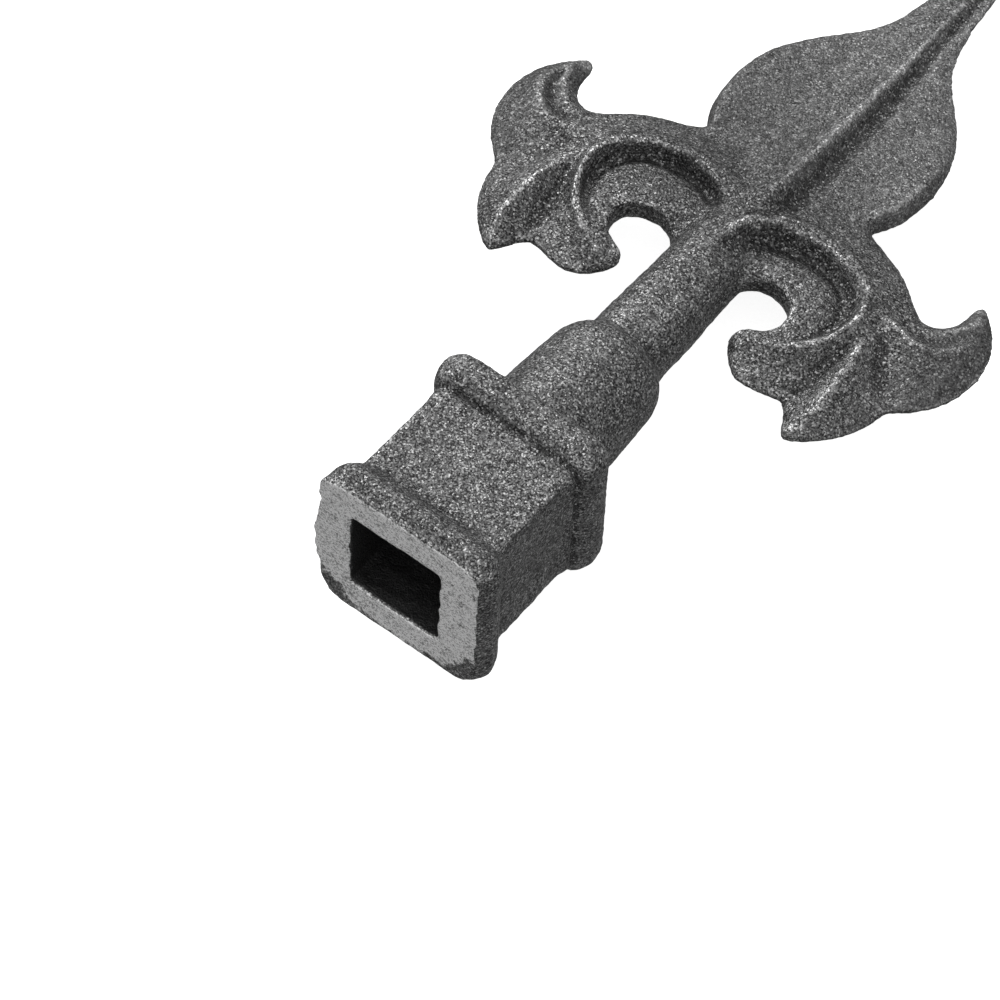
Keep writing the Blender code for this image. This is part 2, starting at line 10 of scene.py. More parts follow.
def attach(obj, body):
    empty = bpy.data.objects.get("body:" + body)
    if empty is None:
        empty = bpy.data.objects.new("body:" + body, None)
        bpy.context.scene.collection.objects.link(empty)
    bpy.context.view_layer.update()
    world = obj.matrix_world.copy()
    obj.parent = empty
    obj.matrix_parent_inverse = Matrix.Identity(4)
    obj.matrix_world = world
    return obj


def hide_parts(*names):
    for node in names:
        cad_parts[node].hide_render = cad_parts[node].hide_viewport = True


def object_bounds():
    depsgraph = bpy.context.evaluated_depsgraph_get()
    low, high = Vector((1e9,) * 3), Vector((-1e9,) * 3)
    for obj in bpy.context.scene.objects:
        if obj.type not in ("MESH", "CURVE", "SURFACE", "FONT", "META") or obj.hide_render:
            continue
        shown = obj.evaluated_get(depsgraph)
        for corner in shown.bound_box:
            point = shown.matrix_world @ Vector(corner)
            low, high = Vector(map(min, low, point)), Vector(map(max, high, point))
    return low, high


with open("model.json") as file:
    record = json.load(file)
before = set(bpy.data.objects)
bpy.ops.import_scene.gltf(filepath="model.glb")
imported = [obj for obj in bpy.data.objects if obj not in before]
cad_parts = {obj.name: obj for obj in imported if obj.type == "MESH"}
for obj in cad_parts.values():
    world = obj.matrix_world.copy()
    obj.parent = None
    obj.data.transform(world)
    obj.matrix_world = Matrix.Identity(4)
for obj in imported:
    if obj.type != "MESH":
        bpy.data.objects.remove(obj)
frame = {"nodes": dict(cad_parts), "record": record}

bl_info = {
    "name": "Cast Iron Fence Finial",
    "version": (1, 0, 0),
    "blender": (4, 5, 0),
    "location": "3D View > Sidebar > Finial",
    "description": "Gives the fence finial its sand-cast skin and sets it on a studio floor",
    "category": "Add Mesh",
}

MM = 0.001
NODE = "fence_finial"
PIECE = "cast_finial"
CAD_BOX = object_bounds()
MOUTH_MOUNT = next(m for m in frame["record"]["mounts"] if m["name"] == "bar_mouth")

# The casting's own axes: Y runs from the ground mouth to the tip, Z out of the carved front.
MOUTH_CENTRE = Vector((0, MOUTH_MOUNT["pos_m"][1], MOUTH_MOUNT["pos_m"][2]))
TOWARDS_TIP = -Vector(MOUTH_MOUNT["axis"])
OUT_OF_FRONT = Vector((1, 0, 0)).cross(TOWARDS_TIP)
CASTING = Matrix.Translation(MOUTH_CENTRE) @ Matrix(
    (
        (1, TOWARDS_TIP.x, OUT_OF_FRONT.x),
        (0, TOWARDS_TIP.y, OUT_OF_FRONT.y),
        (0, TOWARDS_TIP.z, OUT_OF_FRONT.z),
    )
).to_4x4()

# Where the blade springs from the leaves.
BLADE_ROOT = CASTING @ Vector((-4 * MM, 79 * MM, 3 * MM))

# The cored hole: half its width, how far its centre sits off the axis, and its depth.
HOLE_HALF = 7.4 * MM
HOLE_SHIFT = -1.2 * MM
HOLE_DEPTH = 26 * MM

# The quirk in front of the upper bead: its height above the mouth, half its width, and how far from
# the axis it begins and reaches its full depth.
QUIRK_HEIGHT = 21.7 * MM
QUIRK_HALF = 0.6 * MM
QUIRK_START = 10.9 * MM
QUIRK_FULL = 11.1 * MM

# Width of the bumps along the mouth's edges and in its burr.
RAGGED_SIZE = 3.6 * MM

# Rounds of smoothing that tell how even the skin is, how proud a point stands of what is close by,
# and how far it lies below what is further round it.
EVEN_ROUNDS = 5
PROUD_ROUNDS = 10
HOLLOW_ROUNDS = 57

# Widths in the iron's pattern. A real grain is taken as 0.15 mm, which is too fine to show, so the
# cells and grains are drawn coarser.
CELL_SIZE = 0.22 * MM
GRAIN_SIZE = 0.26 * MM
CLOT_SIZE = 1.2 * MM
STAIN_SIZE = 6.0 * MM

# Points of the solid that are closer than this are one.
MERGE = 0.002 * MM

# The studio: half the floor's side and the camera's nearest and furthest sight, in metres.
FLOOR_HALF = 8.0
CLIP_START = 0.05
CLIP_END = 50.0

# Settings of the casting that the skin's rule takes as plain numbers.
SKIN_NUMBERS = (
    "Carving",
    "Quirk depth",
    "Wave size",
    "Wave depth",
    "Lump size",
    "Lump depth",
    "Grain size",
    "Grain depth",
    "Burr reach",
    "Burr height",
    "Wear",
    "Wander",
    "Seed",
)

# Lines of the carving: millimetres from the axis, with the right positive, and from the eye's level,
# how far the line is raised or sunk, and half its width. Left and right ones are each drawn on their
# own side. The rib's and the stem's lie on one side only, and the others are mirrored.
EYE_LEVEL = 64 * MM
RIGHT_RIM = (
    (0.8, 4.4, 0.0, 1.0), (1.0, 7.0, 0.7, 1.2), (2.0, 9.2, 1.2, 1.5), (4.2, 11.1, 1.6, 1.8),
    (7.2, 12.2, 1.9, 1.9), (10.2, 12.7, 1.9, 1.9), (13.5, 12.7, 1.7, 1.9), (16.8, 11.9, 1.3, 1.9),
    (19.8, 10.0, 0.8, 1.8), (21.4, 7.5, 0.5, 1.8),
    (21.9, 4.6, 0.4, 1.8), (21.6, 1.6, 0.6, 1.8), (20.2, -1.2, 0.7, 1.8), (17.6, -3.4, 0.5, 1.7),
    (14.6, -4.4, 0.2, 1.5), (12.6, -4.6, 0.0, 1.2),
)
LEFT_RIM = (
    (-2.4, 9.6, 0.0, 1.0), (-4.6, 11.4, 0.7, 1.0), (-7.2, 12.6, 1.2, 1.1), (-10.2, 13.2, 1.3, 1.2),
    (-13.5, 13.1, 1.3, 1.2), (-16.8, 12.2, 1.2, 1.2), (-19.9, 10.0, 1.0, 1.2), (-21.6, 7.1, 0.8, 1.2),
    (-22.0, 4.4, 0.7, 1.2), (-21.5, 1.4, 0.6, 1.2), (-19.6, -1.7, 0.6, 1.2), (-17.2, -3.7, 0.5, 1.1),
    (-14.9, -5.1, 0.4, 1.1), (-12.0, -6.1, 0.2, 1.0), (-10.5, -6.1, 0.0, 0.8),
)
RIM_BACK = (
    (4.2, 13.6, 0.0, 1.6), (7.0, 14.7, -0.1, 1.9), (10.0, 15.3, -0.25, 2.0), (13.6, 15.2, -0.25, 2.0),
    (17.4, 14.2, -0.3, 2.0), (20.8, 11.8, -0.15, 1.8), (22.6, 8.2, 0.0, 1.4),
)
MIDDLE_CREST = (
    (23.2, 7.4, 0.0, 2.0), (24.2, 5.0, 0.5, 2.6), (25.0, 2.2, 0.9, 3.0), (25.8, -2.0, 1.2, 3.3),
    (26.1, -5.6, 1.2, 3.4), (26.2, -9.4, 1.0, 3.2), (25.2, -13.6, 0.6, 2.4), (24.4, -15.6, 0.2, 1.6),
)
RIGHT_HORN_CREST = (
    (24.4, 8.9, 0.2, 1.6), (27.2, 8.6, 0.7, 1.8), (30.2, 8.1, 0.8, 2.0), (32.7, 8.9, 0.5, 2.1),
    (34.6, 10.6, 0.25, 2.0), (35.7, 13.0, 0.1, 1.8), (35.8, 15.5, 0.0, 1.4),
)
LEFT_HORN_CREST = (
    (-24.6, 9.2, 0.1, 1.4), (-26.6, 8.3, 0.2, 1.6), (-29.3, 7.6, 0.25, 1.8), (-32.1, 8.0, 0.3, 2.0),
    (-34.2, 9.6, 0.3, 2.0), (-35.7, 12.0, 0.2, 1.8), (-35.8, 14.5, 0.1, 1.5), (-35.0, 17.0, 0.0, 1.0),
)
HORN_FILL = (
    (26.5, 11.4, 0.1, 1.4), (28.5, 11.0, 0.45, 1.6), (31.2, 11.8, 0.6, 1.8), (33.0, 13.6, 0.7, 1.8),
    (34.0, 15.8, 0.6, 1.6), (34.6, 17.6, 0.2, 1.2),
)
HORN_SLOPE = (
    (38.0, 16.6, 0.0, 3.0), (39.4, 12.0, -0.4, 4.4), (39.3, 7.5, -0.45, 4.6), (37.4, 2.4, -0.4, 4.0),
    (34.6, -0.5, 0.0, 3.0),
)
RIGHT_HORN_VALLEY = (
    (34.2, -3.2, 0.0, 2.0), (32.4, -1.0, -0.25, 2.6), (30.0, 1.6, -0.3, 2.8), (27.6, 4.2, -0.3, 2.5),
    (25.6, 6.6, 0.0, 1.6),
)
MIDDLE_SLOPE = (
    (28.4, -12.6, 0.0, 2.6), (31.2, -8.4, -0.25, 3.2), (32.2, -5.2, -0.25, 3.2), (32.6, -2.4, 0.0, 2.4),
)
HOOK_VALLEY = (
    (21.4, -10.0, 0.0, 1.4), (22.4, -6.0, -0.25, 1.8), (22.6, -2.4, -0.28, 1.8), (22.9, 1.2, -0.1, 1.5),
    (23.2, 4.4, 0.3, 1.5), (22.9, 7.2, 0.2, 1.2),
)
RIGHT_CREVICE = (
    (1.8, 0.8, 0.0, 1.4), (2.4, 4.0, -0.6, 2.2), (3.0, 7.0, -0.8, 2.6), (5.0, 9.3, -0.8, 2.7),
    (7.9, 10.4, -0.9, 2.6), (11.0, 10.9, -0.9, 2.4), (14.2, 10.6, -0.8, 2.1), (16.9, 9.5, -0.65, 1.8),
    (19.0, 7.3, -0.5, 1.6), (20.0, 4.6, -0.35, 1.5), (19.6, 1.8, -0.2, 1.4), (18.6, -0.6, 0.0, 1.2),
)
LEFT_CREVICE = (
    (-3.8, 8.9, 0.0, 1.0), (-5.4, 10.4, -0.4, 1.4), (-7.7, 11.8, -0.7, 1.7), (-10.9, 12.2, -0.8, 2.0),
    (-14.0, 11.9, -0.8, 2.0), (-16.9, 10.8, -0.8, 1.9), (-19.1, 8.7, -0.8, 1.8), (-20.3, 5.9, -0.75, 1.7),
    (-20.2, 3.0, -0.6, 1.5), (-19.0, 0.1, -0.4, 1.3), (-17.2, -2.2, 0.0, 1.2),
)
LEFT_HORN_GROOVE = (
    (-28.2, 9.8, 0.0, 0.7), (-30.2, 9.3, -0.4, 0.9), (-31.9, 9.7, -0.5, 1.0), (-33.5, 10.9, -0.5, 1.0),
    (-34.7, 12.9, -0.4, 0.9), (-34.8, 15.2, 0.0, 0.7),
)

# The block's front edges are sharper than its other ones.
BLOCK_EDGE = (
    (10.9, -58.5, 0.1, 1.4), (10.9, -56.0, 0.5, 1.6), (10.9, -45.0, 0.5, 1.6), (10.9, -43.5, 0.1, 1.4),
)

# The blade's rib has a sharp edge and a steep flank on the right and fades into the face on the left.
RIB_EDGE = (
    (0.7, 10.5, 0.0, 1.4), (1.0, 14.5, 0.45, 1.7), (1.2, 19.0, 0.6, 1.6), (1.3, 30.0, 0.6, 1.5),
    (1.2, 44.0, 0.5, 1.2), (1.0, 54.0, 0.3, 0.9), (0.8, 66.0, 0.0, 0.6),
)
RIB_FLANK = (
    (2.6, 9.0, 0.0, 1.6), (3.4, 12.5, -0.4, 2.2), (4.1, 17.0, -0.65, 2.5), (3.9, 27.0, -0.65, 2.4),
    (3.5, 36.0, -0.6, 2.1), (3.0, 45.0, -0.55, 1.7), (2.5, 54.0, -0.45, 1.4), (1.8, 68.0, -0.2, 0.9),
)
STEM_SIDE = (
    (4.2, -17.0, 0.0, 2.0), (4.4, -12.0, 0.8, 2.9), (4.2, -5.0, 0.6, 2.8), (4.0, 1.0, 0.0, 2.0),
)
RIB_FADE = (
    (-3.6, 17.0, 0.2, 3.0), (-3.9, 21.0, 0.65, 3.6), (-3.7, 34.0, 0.65, 3.5), (-3.1, 44.0, 0.5, 3.0),
    (-2.1, 54.0, 0.3, 2.0), (-1.4, 66.0, 0.1, 1.2),
)

# Parts that a drawn line is cut into between two of its points.
LINE_PARTS = 8

# The photograph's viewpoint in the casting's axes.
CAMERA_PLACE = Vector((304.1, -409.8, 757.3)) * MM
CAMERA_RIGHT = Vector((0.7885, 0.6142, 0.0328))
CAMERA_UP = Vector((-0.5202, 0.6375, 0.5683))
CAMERA_BACK = Vector((0.3282, -0.4652, 0.8221))
CAMERA_LENS = 252.0
SENSOR_WIDTH = 36.0


def linear(colour):
    """A linear colour from an sRGB hex value such as "#6E6E6E"."""
    shares = [int(colour[i:i + 2], 16) / 255 for i in (1, 3, 5)]
    return tuple(s / 12.92 if s <= 0.04045 else ((s + 0.055) / 1.055) ** 2.4 for s in shares)


def length(name, description, default_mm):
    """A length setting, kept in metres."""
    return bpy.props.FloatProperty(
        name=name,
        description=description,
        default=default_mm * MM,
        min=0.0,
        precision=5,
        subtype="DISTANCE",
        unit="LENGTH",
    )


def colour(name, description, default):
    """A colour setting, given as an sRGB hex value."""
    return bpy.props.FloatVectorProperty(
        name=name,
        description=description,
        default=linear(default),
        size=3,
        min=0.0,
        max=1.0,
        subtype="COLOR",
    )


class CastingSettings(bpy.types.PropertyGroup):
    facet: length("Facet", "Edge length of the skin's mesh", 0.42)
    softening: bpy.props.IntProperty(
        name="Softening",
        description="Rounds of smoothing that take the edge off the pattern's facets",
        default=7,
        min=0,
    )
    carving: bpy.props.FloatProperty(
        name="Carving",
        description="Share of the drawn height and depth that the carved lines get",
        default=1.0,
        min=0.0,
    )
    quirk_depth: length("Quirk depth", "Depth of the notch in front of the upper bead", 0.5)
    wave_size: length("Wave size", "Width of the slow unevenness of the sand mould", 7.0)
    wave_depth: length("Wave depth", "Height of the slow unevenness", 0.22)
    lump_size: length("Lump size", "Width of the lumps that clotted sand leaves", 1.7)
    lump_depth: length("Lump depth", "Height of the lumps", 0.14)
    grain_size: length("Grain size", "Width of the coarse sand grains", 0.85)
    grain_depth: length("Grain depth", "Height of the coarse sand grains", 0.08)
    burr_reach: length("Burr reach", "How far the ragged burr stands out beside the mouth", 1.5)
    burr_height: length("Burr height", "How far the burr climbs up from the ground mouth", 1.9)
    wear: length("Wear", "How far the mouth's right and front edges are rounded in", 0.9)
    wander: length("Wander", "How far the mouth's edges wander in and out", 0.5)
    seed: bpy.props.FloatProperty(
        name="Seed",
        description="Another number gives another sand mould",
        default=3.7,
    )
    iron: colour("Iron", "The matt iron between the grains", "#6C6C6C")
    # This colour is burnt sand and painted shade: it darkens the hollows and creases.
    sand_and_shade_colour: colour("Crevice", "The burnt sand left in the hollows", "#3A3A3A")
    # A painted highlight on the front's raised edges.
    crest_highlight: colour("Crest", "The edges that handling has rubbed bright", "#B0B0B0")
    ground: colour("Ground iron", "The fresh metal of the ground mouth", "#E4E4E4")
    # Burnt core sand, and painted shade for the dark inside the cored hole.
    bore: colour("Bore", "The burnt wall of the cored hole", "#3C3C3C")


class StudioSettings(bpy.types.PropertyGroup):
    floor: colour("Floor", "The pale floor", "#F2F2F2")
    floor_glow: bpy.props.FloatProperty(
        name="Floor glow",
        description="Light that the floor gives off, as a lit table does",
        default=0.95,
        min=0.0,
    )
    key_power: bpy.props.FloatProperty(
        name="Key power",
        description="Power of the key light",
        default=2.9,
        min=0.0,
        unit="POWER",
    )
    key_azimuth: bpy.props.FloatProperty(
        name="Key azimuth",
        description="Direction that the key light stands in, from +X towards +Y",
        default=radians(150),
        subtype="ANGLE",
    )
    key_elevation: bpy.props.FloatProperty(
        name="Key elevation",
        description="Height of the key light above the floor",
        default=radians(35),
        subtype="ANGLE",
    )
    key_size: length("Key size", "Side of the key light's square", 420.0)
    key_distance: length("Key distance", "From the key light to the finial", 800.0)
    sky: bpy.props.FloatProperty(
        name="Room light",
        description="Strength of the even light from above the floor's level",
        default=0.7,
        min=0.0,
    )
    bounce: bpy.props.FloatProperty(
        name="Bounced light",
        description="Strength of the even light that comes back from below",
        default=0.27,
        min=0.0,
    )


def add(tree, kind, settings=None, links=None):
    """Adds a node.

    Settings are its own values by name. Links give each input a value or another node's output.
    """
    node = tree.nodes.new(kind)
    for name, value in (settings or {}).items():
        setattr(node, name, value)
    for key, value in (links or {}).items():
        socket = node.inputs[key]
        if isinstance(value, bpy.types.NodeSocket):
            tree.links.new(value, socket)
        else:
            socket.default_value = value
    return node


def maths(tree, operation, first, second=0.0, third=0.0):
    """The output of one Math node."""
    links = {0: first, 1: second, 2: third}
    return add(tree, "ShaderNodeMath", {"operation": operation}, links).outputs[0]


def ramp(tree, value, start, end, low=0.0, high=1.0):
    """Value taken smoothly from low at start to high at end, and held beyond them."""
    settings = {"interpolation_type": "SMOOTHSTEP"}
    links = {0: value, 1: start, 2: end, 3: low, 4: high}
    return add(tree, "ShaderNodeMapRange", settings, links).outputs[0]


def vector_maths(tree, operation, first, second=None, scale=None, output=0):
    """One output of a Vector Math node: 0 is its vector and 1 its number."""
    links = {0: first}
    if second is not None:
        links[1] = second
    if scale is not None:
        links[3] = scale
    return add(tree, "ShaderNodeVectorMath", {"operation": operation}, links).outputs[output]


def sand(tree, place, size, seed, detail=2.0, roughness=0.5):
    """Noise from -1 to 1, about size wide."""
    links = {
        "Vector": place,
        "W": seed,
        "Scale": maths(tree, "DIVIDE", 1.0, size) if isinstance(size, bpy.types.NodeSocket) else 1 / size,
        "Detail": detail,
        "Roughness": roughness,
    }
    noise = add(tree, "ShaderNodeTexNoise", {"noise_dimensions": "4D"}, links)
    return maths(tree, "MULTIPLY_ADD", noise.outputs["Fac"], 2.0, -1.0)


def skin_tree():
    """The rule that turns the smooth pattern into a rough casting."""
    tree = bpy.data.node_groups.new("Sand-cast skin", "GeometryNodeTree")
    inputs = (
        ("Geometry", "NodeSocketGeometry"),
        ("Softening", "NodeSocketInt"),
        ("Leaf ridges", "NodeSocketObject"),
        ("Sharp lines", "NodeSocketObject"),
        ("Soft lines", "NodeSocketObject"),
        *((name, "NodeSocketFloat") for name in SKIN_NUMBERS),
        ("Mouth", "NodeSocketVector"),
        ("Towards tip", "NodeSocketVector"),
        ("Lowest corner", "NodeSocketVector"),
        ("Highest corner", "NodeSocketVector"),
        ("Iron", "NodeSocketMaterial"),
    )
    for name, kind in inputs:
        tree.interface.new_socket(name, in_out="INPUT", socket_type=kind)
    tree.interface.new_socket("Geometry", in_out="OUTPUT", socket_type="NodeSocketGeometry")
    given = add(tree, "NodeGroupInput").outputs
    place = add(tree, "GeometryNodeInputPosition").outputs[0]
    normal = add(tree, "GeometryNodeInputNormal").outputs[0]

    # Height above the ground mouth, and how squarely the surface faces out of it.
    from_mouth = vector_maths(tree, "SUBTRACT", place, given["Mouth"])
    height = vector_maths(tree, "DOT_PRODUCT", from_mouth, given["Towards tip"], output=1)
    facing = vector_maths(tree, "DOT_PRODUCT", normal, given["Towards tip"], output=1)

    # The pattern's facets are smoothed away, but its edges and the ground mouth stay crisp.
    mean_normal = add(
        tree,
        "GeometryNodeBlurAttribute",
        {"data_type": "FLOAT_VECTOR"},
        {"Value": normal, "Iterations": EVEN_ROUNDS, "Weight": 1.0},
    ).outputs[0]
    evenness = vector_maths(tree, "LENGTH", mean_normal, output=1)
    flat = ramp(tree, evenness, 0.93, 0.985, low=0.12)
    blur_weight = maths(tree, "MULTIPLY", flat, ramp(tree, height, 0.2 * MM, 0.9 * MM))
    blur = add(
        tree,
        "GeometryNodeBlurAttribute",
        {"data_type": "FLOAT_VECTOR"},
        {"Value": place, "Iterations": given["Softening"], "Weight": blur_weight},
    )
    soft = add(
        tree,
        "GeometryNodeSetPosition",
        links={"Geometry": given["Geometry"], "Position": blur.outputs[0]},
    ).outputs[0]

    # The carver's lines raise or sink the front. Soft ones are rounded and the others come to an edge.
    separate = add(tree, "ShaderNodeSeparateXYZ", links={0: from_mouth}).outputs
    out_of_front = vector_maths(tree, "CROSS_PRODUCT", (1.0, 0.0, 0.0), given["Towards tip"])
    in_plan = add(tree, "ShaderNodeCombineXYZ", links={0: separate[0], 1: height, 2: 0.0}).outputs[0]
    depth = vector_maths(tree, "DOT_PRODUCT", from_mouth, out_of_front, output=1)
    forward = vector_maths(tree, "DOT_PRODUCT", normal, out_of_front, output=1)
    at_front = ramp(tree, forward, 0.15, 0.45)
    at_front = maths(tree, "MULTIPLY", at_front, ramp(tree, depth, 0.2 * MM, 1.0 * MM))

    def drawn_value(drawn, nearest, attribute):
        kind = {"data_type": "FLOAT"}
        stored = add(tree, "GeometryNodeInputNamedAttribute", kind, {"Name": attribute})
        return add(
            tree,
            "GeometryNodeSampleIndex",
            {"data_type": "FLOAT", "domain": "POINT"},
            {"Geometry": drawn, "Value": stored.outputs[0], "Index": nearest},
        ).outputs[0]

    carved = 0.0
    for name in ("Leaf ridges", "Sharp lines", "Soft lines"):
        drawn = add(tree, "GeometryNodeObjectInfo", links={"Object": given[name]}).outputs["Geometry"]
        near = add(
            tree,
            "GeometryNodeProximity",
            {"target_element": "EDGES"},
            {0: drawn, "Sample Position": in_plan},
        ).outputs["Distance"]
        nearest = add(
            tree,
            "GeometryNodeSampleNearest",
            {"domain": "POINT"},
            {"Geometry": drawn, "Sample Position": in_plan},
        ).outputs[0]
        rise = drawn_value(drawn, nearest, "rise")
        width = drawn_value(drawn, nearest, "width")
        share = maths(tree, "SUBTRACT", 1.0, maths(tree, "DIVIDE", near, width))
        share = maths(tree, "MAXIMUM", share, 0.0)
        if name == "Soft lines":
            share = ramp(tree, share, 0.0, 1.0)
            # Sunk soft lines carry burnt sand and painted shade.
            sand_and_shade_factor = ramp(tree, rise, -0.3 * MM, -0.6 * MM)
            soot = maths(tree, "MULTIPLY", ramp(tree, share, 0.0, 0.6), sand_and_shade_factor)
        carved = maths(tree, "MULTIPLY_ADD", share, rise, carved)
    carved = maths(tree, "MULTIPLY", carved, given["Carving"])
    carved = maths(tree, "MULTIPLY", carved, at_front)
    soot = maths(tree, "MULTIPLY", soot, at_front)
    soft = add(
        tree,
        "GeometryNodeSetPosition",
        links={"Geometry": soft, "Offset": vector_maths(tree, "SCALE", out_of_front, scale=carved)},
    ).outputs[0]

    # The quirk runs round the block in front of its upper bead.
    from_quirk = maths(tree, "ABSOLUTE", maths(tree, "SUBTRACT", height, QUIRK_HEIGHT))
    notch = maths(tree, "SUBTRACT", 1.0, maths(tree, "DIVIDE", from_quirk, QUIRK_HALF))
    notch = maths(tree, "MAXIMUM", notch, 0.0)
    from_axis = add(tree, "ShaderNodeCombineXYZ", links={0: separate[0], 1: depth, 2: 0.0}).outputs[0]
    outside = vector_maths(tree, "LENGTH", from_axis, output=1)
    notch = maths(tree, "MULTIPLY", notch, ramp(tree, outside, QUIRK_START, QUIRK_FULL))
    notch = maths(tree, "MULTIPLY", notch, maths(tree, "MULTIPLY", given["Quirk depth"], -1.0))
    soft = add(
        tree,
        "GeometryNodeSetPosition",
        links={"Geometry": soft, "Offset": vector_maths(tree, "SCALE", normal, scale=notch)},
    ).outputs[0]

    # What the finish needs to know of the shape: how proud each point stands of what is close
    # by, and how far it lies below what is further round it.
    def above_mean(rounds):
        mean = add(
            tree,
            "GeometryNodeBlurAttribute",
            {"data_type": "FLOAT_VECTOR"},
            {"Value": place, "Iterations": rounds, "Weight": 1.0},
        ).outputs[0]
        from_mean = vector_maths(tree, "SUBTRACT", place, mean)
        above = vector_maths(tree, "DOT_PRODUCT", from_mean, normal, output=1)
        return maths(tree, "DIVIDE", above, MM)

    # Only the front's edges count as proud, so the painted highlight stays on the front.
    proud = above_mean(PROUD_ROUNDS)
    highlit_front = ramp(tree, forward, -0.1, 0.45)
    proud = maths(tree, "MINIMUM", proud, maths(tree, "MULTIPLY", proud, highlit_front))

    # The blade's left edge gets little of the painted highlight.
    blade_edge_highlight = ramp(tree, separate[0], -4 * MM, -8 * MM)
    blade_edge_highlight = maths(tree, "MULTIPLY", blade_edge_highlight, ramp(tree, height, 84 * MM, 90 * MM))
    blade_edge_highlight = maths(tree, "MULTIPLY_ADD", blade_edge_highlight, -0.8, 1.0)
    proud = maths(tree, "MINIMUM", proud, maths(tree, "MULTIPLY", proud, blade_edge_highlight))

    # Painted shade darkens the leaves' and the blade's side walls.
    side_shade = ramp(tree, maths(tree, "ABSOLUTE", forward), 0.5, 0.15)
    side_shade = maths(tree, "MULTIPLY", side_shade, ramp(tree, height, 58 * MM, 66 * MM, high=0.55))
    soot = maths(tree, "MAXIMUM", soot, side_shade)
    # Painted shade: the finish darkens points that lie below their wider surroundings.
    hollow = maths(tree, "MULTIPLY", above_mean(HOLLOW_ROUNDS), -1.0)

    # The grinding reached the mouth's face, but less of its rim and of its lower corners.
    near_mouth = ramp(tree, height, 0.35 * MM, 0.15 * MM)
    ground = maths(tree, "MULTIPLY", near_mouth, ramp(tree, facing, -0.35, -0.7))
    across = maths(tree, "ABSOLUTE", maths(tree, "SUBTRACT", separate[0], HOLE_SHIFT))
    widest = maths(tree, "MAXIMUM", across, maths(tree, "ABSOLUTE", depth))
    outward = maths(tree, "MAXIMUM", widest, maths(tree, "MULTIPLY", outside, 0.85))
    ground = maths(tree, "SUBTRACT", ground, ramp(tree, outward, 11.2 * MM, 13.2 * MM, high=0.3))
    towards_back = ramp(tree, depth, -5.0 * MM, -11.0 * MM)
    sideways = maths(tree, "ABSOLUTE", separate[0])
    towards_corner = ramp(tree, sideways, 5.0 * MM, 12.0 * MM, low=0.6)
    burnt_end = maths(tree, "MULTIPLY", towards_back, towards_corner)
    ground = maths(tree, "MULTIPLY_ADD", burnt_end, -0.5, ground)
    # The wall of the cored hole, which the finish paints near black as burnt sand and painted shade.
    in_hole = ramp(tree, widest, HOLE_HALF + 1.0 * MM, HOLE_HALF + 0.5 * MM)
    below_floor = ramp(tree, height, HOLE_DEPTH + 1.0 * MM, HOLE_DEPTH + 0.5 * MM)
    bore = maths(tree, "MULTIPLY", in_hole, below_floor)
    bore = maths(tree, "MULTIPLY", bore, ramp(tree, height, 0.1 * MM, 0.5 * MM))
    stored = soft
    measures = {"proud": proud, "hollow": hollow, "soot": soot, "ground": ground, "bore": bore}
    for name, value in measures.items():
        stored = add(
            tree,
            "GeometryNodeStoreNamedAttribute",
            {"data_type": "FLOAT", "domain": "POINT"},
            {"Geometry": stored, "Name": name, "Value": value},
        ).outputs[0]

    # Unevenness of the mould, clots of sand and coarse grains push the surface in and out.
    waves = sand(tree, place, given["Wave size"], given["Seed"])
    relief = maths(tree, "MULTIPLY", waves, given["Wave depth"])
    for size, height_of in (("Lump size", "Lump depth"), ("Grain size", "Grain depth")):
        layer = sand(tree, place, given[size], given["Seed"], detail=1.0)
        relief = maths(tree, "MULTIPLY_ADD", layer, given[height_of], relief)
    rough = maths(tree, "SUBTRACT", 1.0, ramp(tree, height, 0.9 * MM, 0.1 * MM))
    relief = maths(tree, "MULTIPLY", relief, rough)
    pushed = add(
        tree,
        "GeometryNodeSetPosition",
        links={
            "Geometry": stored,
            "Offset": vector_maths(tree, "SCALE", normal, scale=relief),
        },
    ).outputs[0]

    # The burr stands out on the mouth's left side, most in the middle of it and ragged all along.
    at_side = ramp(tree, separate[0], -11.0 * MM, -13.0 * MM)
    low = ramp(tree, height, given["Burr height"], 0.0)
    bulge = ramp(tree, maths(tree, "ABSOLUTE", depth), 11.0 * MM, 1.0 * MM)
    ragged = ramp(tree, sand(tree, place, RAGGED_SIZE, given["Seed"], detail=1.0), -0.4, 0.5)
    ragged = maths(tree, "MULTIPLY_ADD", ragged, 0.5, maths(tree, "MULTIPLY", bulge, 0.6))
    reach = maths(tree, "MULTIPLY", maths(tree, "MULTIPLY", at_side, low), ragged)
    reach = maths(tree, "MULTIPLY", reach, maths(tree, "MULTIPLY", given["Burr reach"], -1.0))

